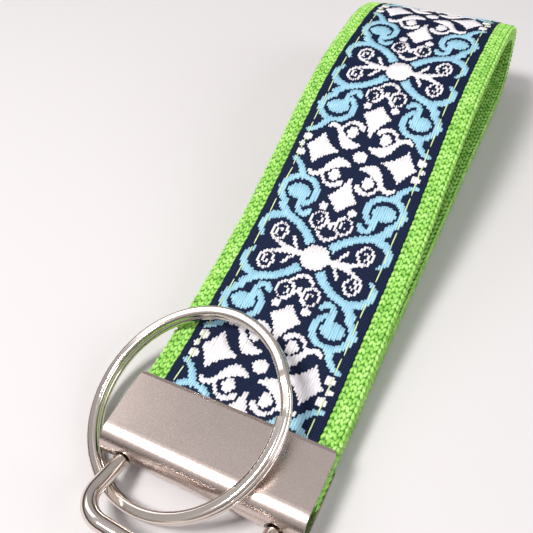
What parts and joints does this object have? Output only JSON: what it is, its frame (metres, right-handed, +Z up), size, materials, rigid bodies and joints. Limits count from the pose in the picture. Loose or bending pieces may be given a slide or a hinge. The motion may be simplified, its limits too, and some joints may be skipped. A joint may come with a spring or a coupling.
{
  "type": "wristlet keychain",
  "caption": "Wristlet key fob: a folded webbing strap with a patterned ribbon, a metal end clamp, a swinging wire bail and a split key ring.",
  "frame": {"origin": "on the surface it lies on, in the middle of the strap's flat underside", "axes": "+X across the strap, +Y along the strap away from the clamp, +Z up"},
  "size_m": [0.0384, 0.1293, 0.0226],
  "materials": {
    "webbing": "bright green cotton webbing, braided knit",
    "ribbon": "navy woven jacquard ribbon with light blue and white floats",
    "stitching": "pale green sewing thread",
    "bobbin_stitching": "green bobbin thread",
    "satin_nickel": "satin nickel plate",
    "polished_nickel": "polished nickel plate"
  },
  "bodies": {
    "strap_and_clamp": {"webbing_strap": "webbing", "jacquard_ribbon": "ribbon", "needle_thread_left": "stitching", "needle_thread_right": "stitching", "bobbin_thread_left": "bobbin_stitching", "bobbin_thread_right": "bobbin_stitching", "key_fob_clamp": "satin_nickel"},
    "bail": {"wire_bail": "polished_nickel"},
    "ring": {"split_ring": "polished_nickel"}
  },
  "joints": [
    {"name": "bail_swing", "type": "hinge", "parent": "strap_and_clamp", "child": "bail", "pos_m": [0, -0.06229, 0.00203], "axis": [1, 0, 0], "range_deg": [0, 80]},
    {"name": "ring_swing", "type": "hinge", "parent": "bail", "child": "ring", "pos_m": [-0.01208, -0.06919, 0.0017], "axis": [1, 0, 0], "range_deg": [0, 60]}
  ]
}
